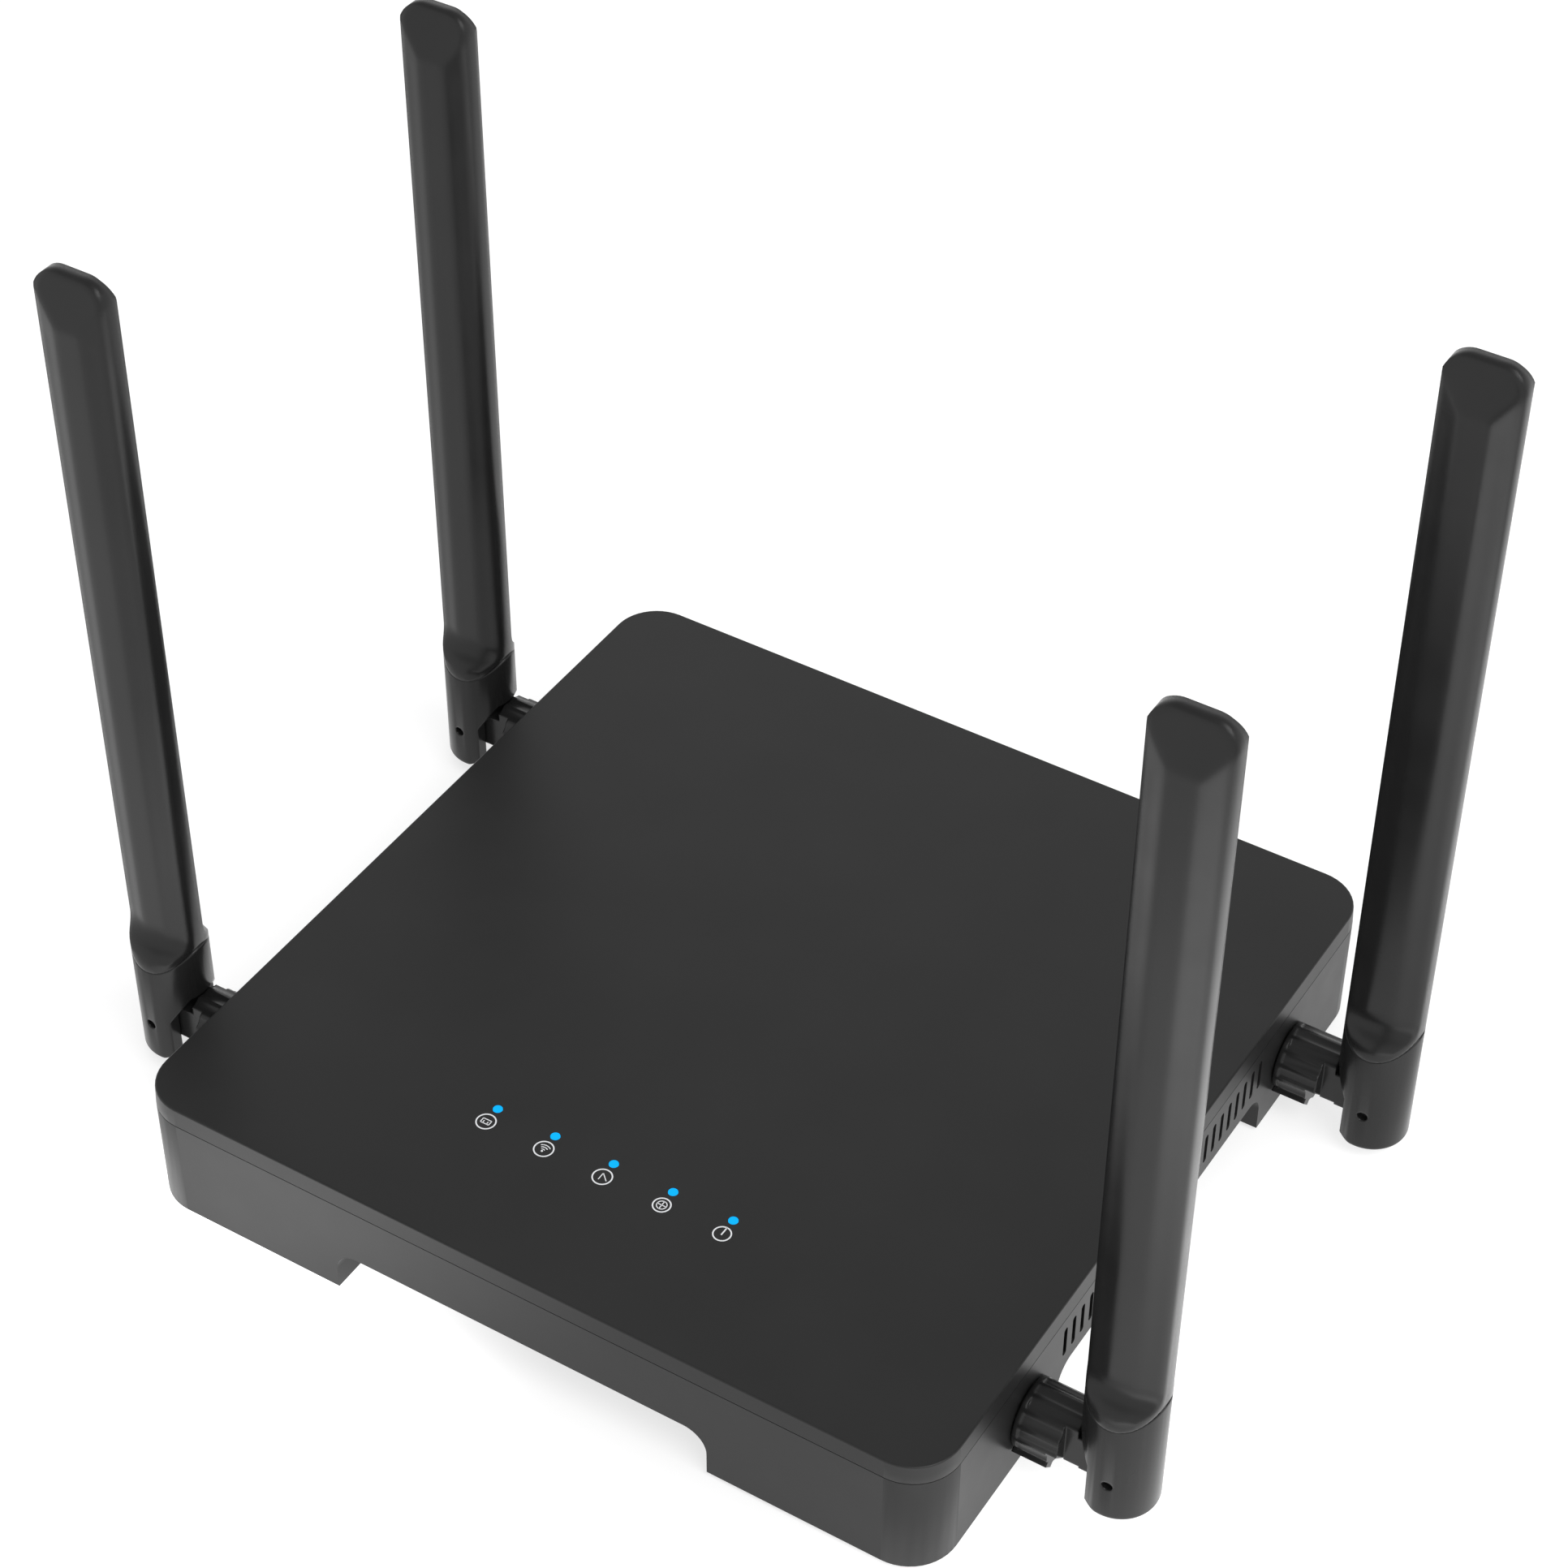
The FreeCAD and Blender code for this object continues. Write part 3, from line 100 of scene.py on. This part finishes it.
class Nodes:
    """A new material with a Principled shader, and short ways to feed it."""

    def __init__(self, name, **constants):
        self.material = bpy.data.materials.new(name)
        self.material.use_nodes = True
        self.tree = self.material.node_tree
        self.shader = self.tree.nodes["Principled BSDF"]
        for socket, value in constants.items():
            self.shader.inputs[socket.replace("_", " ")].default_value = value
        self.place = self.add("ShaderNodeTexCoord").outputs["Object"]

    def add(self, kind, **settings):
        node = self.tree.nodes.new(kind)
        for key, value in settings.items():
            setattr(node, key, value)
        return node

    def link(self, output, node, socket):
        self.tree.links.new(output, node.inputs[socket])

    def noise(self, scale, detail=2.0, stretch=(1, 1, 1)):
        """Noise in row coordinates; a scale of 1000 has features about a millimetre across."""
        mapping = self.add("ShaderNodeMapping")
        mapping.inputs["Scale"].default_value = stretch
        self.link(self.place, mapping, "Vector")
        noise = self.add("ShaderNodeTexNoise")
        noise.inputs["Scale"].default_value = scale
        noise.inputs["Detail"].default_value = detail
        self.link(mapping.outputs["Vector"], noise, "Vector")
        return noise.outputs["Fac"]

    def between(self, value, low, high, start=0.3, end=0.7):
        """Carry a value from start..end over to low..high."""
        span = self.add("ShaderNodeMapRange")
        set_range(span, (start, end, low, high))
        self.link(value, span, "Value")
        return span.outputs["Result"]

    def mix(self, factor, first, second):
        """A colour between two, either of which may be a colour or another node's output."""
        node = self.add("ShaderNodeMix", data_type="RGBA")
        self.link(factor, node, 0)
        for socket, colour in ((6, first), (7, second)):
            if isinstance(colour, tuple):
                node.inputs[socket].default_value = (*colour, 1)
            else:
                self.link(colour, node, socket)
        return node.outputs[2]

    def colour(self, output):
        self.link(output, self.shader, "Base Color")

    def roughness(self, low, high, scale):
        self.link(self.between(self.noise(scale), low, high), self.shader, "Roughness")

    def bump(self, height, depth, rounding=None):
        """Raise the surface by a height field of about that depth, over edges rounded off by shading.

        The rounding is two heights and the radius at each.
        """
        bump = self.add("ShaderNodeBump")
        if rounding:
            low, high, low_radius, high_radius = rounding
            rounded = self.add("ShaderNodeBevel", samples=12)
            radius = self.between(self.part_of_z(low, high), low_radius, high_radius, 0.0, 1.0)
            self.link(radius, rounded, "Radius")
            self.link(rounded.outputs["Normal"], bump, "Normal")
        bump.inputs["Strength"].default_value = 1.0
        bump.inputs["Distance"].default_value = depth
        self.link(height, bump, "Height")
        self.link(bump.outputs["Normal"], self.shader, "Normal")

    def part_of_z(self, low, high):
        """0 below one height and 1 above the other."""
        split = self.add("ShaderNodeSeparateXYZ")
        self.link(self.place, split, "Vector")
        return self.between(split.outputs["Z"], 0.0, 1.0, low, high)


def plastic(name, dark, light, rough, grain=1500, depth=0.000006, rounding=None, **constants):
    """Moulded plastic: two close shades, uneven gloss and a fine grain."""
    look = Nodes(name, **constants)
    look.colour(look.mix(look.between(look.noise(45), 0.0, 1.0), dark, light))
    look.roughness(rough[0], rough[1], 130)
    look.bump(look.noise(grain, 3.0), depth, rounding)
    return look.material


def metal(name, colour, rough, stretch=(1, 1, 1), scale=900):
    """Metal with fine tool marks along one direction."""
    look = Nodes(name, Metallic=1.0)
    marks = look.noise(scale, 4.0, stretch)
    shade = tuple(c * 0.82 for c in colour)
    look.colour(look.mix(look.between(marks, 0.0, 1.0), shade, colour))
    look.roughness(rough[0], rough[1], 260)
    look.bump(marks, 0.000004)
    return look.material


def board_laminate():
    """Solder mask over copper: traces and pads show as lighter lines under the green."""
    look = Nodes("board_laminate", Coat_Weight=0.5, Coat_Roughness=0.15)
    cells = look.add("ShaderNodeTexVoronoi", feature="DISTANCE_TO_EDGE", distance="CHEBYCHEV")
    cells.inputs["Scale"].default_value = 420
    look.link(look.place, cells, "Vector")
    lines = look.between(cells.outputs["Distance"], 1.0, 0.0, 0.03, 0.06)
    base = look.mix(look.between(look.noise(80), 0.0, 1.0), (0.004, 0.05, 0.018), (0.006, 0.075, 0.026))
    look.colour(look.mix(lines, base, (0.02, 0.16, 0.06)))
    look.roughness(0.35, 0.5, 300)
    look.bump(lines, 0.00002)
    return look.material


def light_guide_plastic(top):
    """Clear plastic, lit blue only where its pillars come up through the lid."""
    look = Nodes("clear_acrylic", IOR=1.49)
    lit = look.part_of_z(top - 1.6 * MM, top - 0.4 * MM)
    clear = look.mix(look.between(look.noise(300), 0.0, 1.0), (0.35, 0.6, 0.75), (0.5, 0.75, 0.9))
    look.colour(look.mix(lit, clear, (0.0, 0.02, 0.06)))
    look.roughness(0.3, 0.4, 500)
    glow = look.mix(lit, (0.0, 0.0, 0.0), (0.0, 0.47, 1.0))
    look.link(glow, look.shader, "Emission Color")
    look.shader.inputs["Emission Strength"].default_value = 1.0
    look.shader.inputs["Specular IOR Level"].default_value = 0.1
    return look.material


def label_film():
    """White film with grey bars in place of any words."""
    look = Nodes("label_film")
    waves = look.add("ShaderNodeTexWave", wave_type="BANDS", bands_direction="Y")
    waves.inputs["Scale"].default_value = 55
    waves.inputs["Distortion"].default_value = 0.0
    look.link(look.place, waves, "Vector")
    bars = look.between(waves.outputs["Fac"], 0.0, 1.0, 0.80, 0.84)
    paper = look.mix(look.noise(900), (0.62, 0.62, 0.6), (0.7, 0.7, 0.69))
    look.colour(look.mix(bars, paper, (0.25, 0.25, 0.26)))
    look.roughness(0.4, 0.55, 400)
    return look.material


def printed_ink():
    look = Nodes("printed_ink", Specular_IOR_Level=0.3)
    look.colour(look.mix(look.noise(4000), (0.66, 0.67, 0.69), (0.76, 0.77, 0.79)))
    look.roughness(0.45, 0.6, 900)
    return look.material


def pale_floor():
    """A white light table: it glows a little everywhere, and more in two soft pools."""
    look = Nodes("pale_floor", Specular_IOR_Level=0.0)
    look.colour(look.mix(look.noise(6), (0.40, 0.40, 0.40), (0.42, 0.42, 0.42)))
    look.roughness(0.85, 0.95, 20)
    glow = GLOW
    for place, reach, power in POOLS:
        pool = look.add("ShaderNodeVectorMath", operation="DISTANCE")
        look.link(look.place, pool, 0)
        pool.inputs[1].default_value = place
        level = look.add("ShaderNodeMapRange", interpolation_type="SMOOTHERSTEP")
        set_range(level, (0.0, reach, power, 0.0))
        look.link(pool.outputs["Value"], level, "Value")
        total = look.add("ShaderNodeMath", operation="ADD")
        look.link(level.outputs["Result"], total, 0)
        if isinstance(glow, float):
            total.inputs[1].default_value = glow
        else:
            look.link(glow, total, 1)
        glow = total.outputs["Value"]
    look.shader.inputs["Emission Color"].default_value = (1, 1, 1, 1)
    look.link(glow, look.shader, "Emission Strength")
    return look.material


def dress():
    """Give every CAD node the material of its slot."""
    finish = {name: plastic(name, *numbers) for name, numbers in PLASTICS.items()}
    finish.update({name: metal(name, *numbers) for name, numbers in METALS.items()})
    finish["case_plastic"] = plastic(
        "case_plastic",
        (0.011, 0.011, 0.011),
        (0.013, 0.013, 0.013),
        (0.36, 0.39),
        Specular_IOR_Level=0.30,
    )
    finish["antenna_plastic"] = plastic(
        "antenna_plastic",
        (0.010, 0.010, 0.010),
        (0.013, 0.013, 0.013),
        (0.22, 0.27),
        grain=1900,
        depth=0.0000015,
        rounding=(27 * MM, 33 * MM, 0.5 * MM, 2.2 * MM),
        Specular_IOR_Level=0.26,
    )
    finish["label_film"] = label_film()
    finish["board_laminate"] = board_laminate()
    finish["clear_acrylic"] = light_guide_plastic(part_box("light_guide")[1][2])
    for part in frame["record"]["subparts"]:
        node = frame["nodes"][part["node"]]
        node.data.materials.clear()
        node.data.materials.append(finish[part["material_slot"]])


def soften(node, width):
    """Round a node's hard edges a little, so that they catch the light."""
    weld = frame["nodes"][node].modifiers.new("joined_faces", "WELD")
    weld.merge_threshold = 0.002 * MM
    bevel = frame["nodes"][node].modifiers.new("softened_edges", "BEVEL")
    bevel.width = width
    bevel.segments = 3
    bevel.limit_method = "ANGLE"
    bevel.angle_limit = math.radians(28)
    bevel.harden_normals = True


# ---------------------------------------------------------------- printed icons
def ink_piece(name, outlines, centre, top, ink):
    """Flat printed marks just proud of the lid: each outline is a closed list of points."""
    mesh = bpy.data.meshes.new(name)
    shape = bmesh.new()
    for points in outlines:
        low = [shape.verts.new((centre[0] + x, centre[1] + y, top)) for x, y in points]
        face = shape.faces.new(low)
        lifted = bmesh.ops.extrude_face_region(shape, geom=[face])
        moved = [v for v in lifted["geom"] if isinstance(v, bmesh.types.BMVert)]
        bmesh.ops.translate(shape, verts=moved, vec=(0, 0, INK_THICK))
    bmesh.ops.recalc_face_normals(shape, faces=shape.faces)
    shape.to_mesh(mesh)
    shape.free()
    mesh.materials.append(ink)
    piece = bpy.data.objects.new(name, mesh)
    bpy.context.collection.objects.link(piece)
    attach(piece, "router")
    return piece


def arc_band(radius, width, start, end, steps=24, centre=(0, 0)):
    """A curved stroke between two angles in degrees."""
    angles = [math.radians(start + (end - start) * i / steps) for i in range(steps + 1)]
    sides = []
    for r in (radius + width / 2, radius - width / 2):
        sides.append([(centre[0] + r * math.cos(a), centre[1] + r * math.sin(a)) for a in angles])
    outer, inner = sides
    return outer + inner[::-1]


def ring(radius, width):
    """A full ring as two half bands."""
    return [arc_band(radius, width, 0, 180), arc_band(radius, width, 180, 360)]


def stroke(x0, y0, x1, y1, width):
    """A straight stroke with square ends."""
    start, end = Vector((x0, y0)), Vector((x1, y1))
    along = (end - start).normalized()
    side = Vector((-along.y, along.x)) * width / 2
    return [tuple(p) for p in (start + side, start - side, end - side, end + side)]


def dot(x, y, radius):
    """A small disc with twelve sides."""
    angles = [math.radians(30 * i) for i in range(12)]
    return [(x + radius * math.cos(a), y + radius * math.sin(a)) for a in angles]


def bar(x0, y0, x1, y1):
    """A thin stroke of a sign, between two points in millimetres."""
    return stroke(x0 * MM, y0 * MM, x1 * MM, y1 * MM, THIN)


def fan(radius):
    """One of the arcs of the wireless sign."""
    return arc_band(radius * MM, THIN, 50, 130, centre=(0, -0.6 * MM))


def frame_outline(half_width, half_height, width):
    """The outline of a rectangle as four strokes."""
    w, h = half_width, half_height
    corners = [(-w, -h), (w, -h), (w, h), (-w, h)]
    return [stroke(*corners[i - 1], *corners[i], width) for i in range(4)]


def icons():
    """A thin ring with a generic sign in it, in front of each status light."""
    ink = printed_ink()
    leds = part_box("status_leds")
    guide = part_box("light_guide")
    top = guide[1][2]
    row = (leds[0][1] + leds[1][1]) / 2 - ICON_DROP
    half = (leds[1][0] - leds[0][0]) / 2 - LED_RADIUS
    plug = frame_outline(0.85 * MM, 0.5 * MM, THIN) + [bar(x, -0.5, x, 0.1) for x in (-0.4, 0.4)]
    signs = {
        "wired": (WIDE_RING, plug),
        "wireless": (WIDE_RING, [fan(r) for r in (0.5, 1.0, 1.5)] + [dot(0, -0.55 * MM, 0.2 * MM)]),
        "link": (WIDE_RING, [bar(-0.3, -0.8, -0.3, 0.8), bar(-0.3, 0.8, 1.1, -0.5)]),
        "network": (SMALL_RING, ring(0.9 * MM, THIN) + [bar(-0.9, 0, 0.9, 0), bar(0, -0.9, 0, 0.9)]),
        "power": (SMALL_RING, [stroke(0, -0.3 * MM, 0, SMALL_RING, BOLD)]),
    }
    for i, (name, (radius, marks)) in enumerate(signs.items()):
        x = half * (i - 2) / 2
        ink_piece(f"icon_{name}", ring(radius, BOLD) + marks, (x, row), top, ink)


# ---------------------------------------------------------------- stage
def camera():
    """The photograph's view: a long lens above the front right corner."""
    azimuth, elevation, roll = (math.radians(a) for a in (31.602, 41.662, 0.3545))
    target = Vector((-41.505, 71.742, 1.0)) * MM
    distance = 739.75 * MM
    lens = bpy.data.cameras.new("camera")
    lens.lens = 85.24
    lens.sensor_width = 36
    lens.clip_start = 0.01
    eye = bpy.data.objects.new("camera", lens)
    away = Vector(
        (
            math.sin(azimuth) * math.cos(elevation),
            -math.cos(azimuth) * math.cos(elevation),
            math.sin(elevation),
        )
    )
    turn = Euler((math.pi / 2 - elevation, 0, azimuth)).to_matrix() @ Matrix.Rotation(roll, 3, "Z")
    eye.matrix_world = Matrix.Translation(target + away * distance) @ turn.to_4x4()
    bpy.context.collection.objects.link(eye)
    bpy.context.scene.camera = eye


def floor():
    mesh = bpy.data.meshes.new("floor")
    corners = [(x * FLOOR_REACH, y * FLOOR_REACH, 0) for x, y in ((-1, -1), (1, -1), (1, 1), (-1, 1))]
    mesh.from_pydata(corners, [], [(0, 1, 2, 3)])
    mesh.materials.append(pale_floor())
    plane = bpy.data.objects.new("floor", mesh)
    bpy.context.collection.objects.link(plane)


def area_light(name, place, size, power, aim=(0, 0, 0.02)):
    data = bpy.data.lights.new(name, "AREA")
    data.shape = "RECTANGLE"
    data.size, data.size_y = size
    data.energy = power
    lamp = bpy.data.objects.new(name, data)
    lamp.location = place
    lamp.rotation_euler = (Vector(aim) - Vector(place)).to_track_quat("-Z", "Y").to_euler()
    bpy.context.collection.objects.link(lamp)


def lights():
    world = bpy.data.worlds.new("studio")
    world.use_nodes = True
    nodes, links = world.node_tree.nodes, world.node_tree.links
    nodes["Background"].inputs["Color"].default_value = (1, 1, 1, 1)
    height = nodes.new("ShaderNodeSeparateXYZ")
    links.new(nodes.new("ShaderNodeTexCoord").outputs["Generated"], height.inputs["Vector"])
    level = nodes.new("ShaderNodeMapRange")
    set_range(level, SKY)
    links.new(height.outputs["Z"], level.inputs["Value"])
    links.new(level.outputs["Result"], nodes["Background"].inputs["Strength"])
    bpy.context.scene.world = world
    bpy.context.scene.view_settings.view_transform = "Standard"
    area_light("right_box", (1.0, -0.35, 1.5), (1.2, 0.8), 15)


dress()
for corner in CORNERS:
    soften(f"antenna_blade_{corner}", 0.15 * MM)
    soften(f"antenna_housing_{corner}", 0.12 * MM)
    soften(f"swivel_barrel_{corner}", 0.15 * MM)
soften("bottom_shell", 0.25 * MM)
soften("top_cover", 0.25 * MM)
icons()
camera()
floor()
lights()
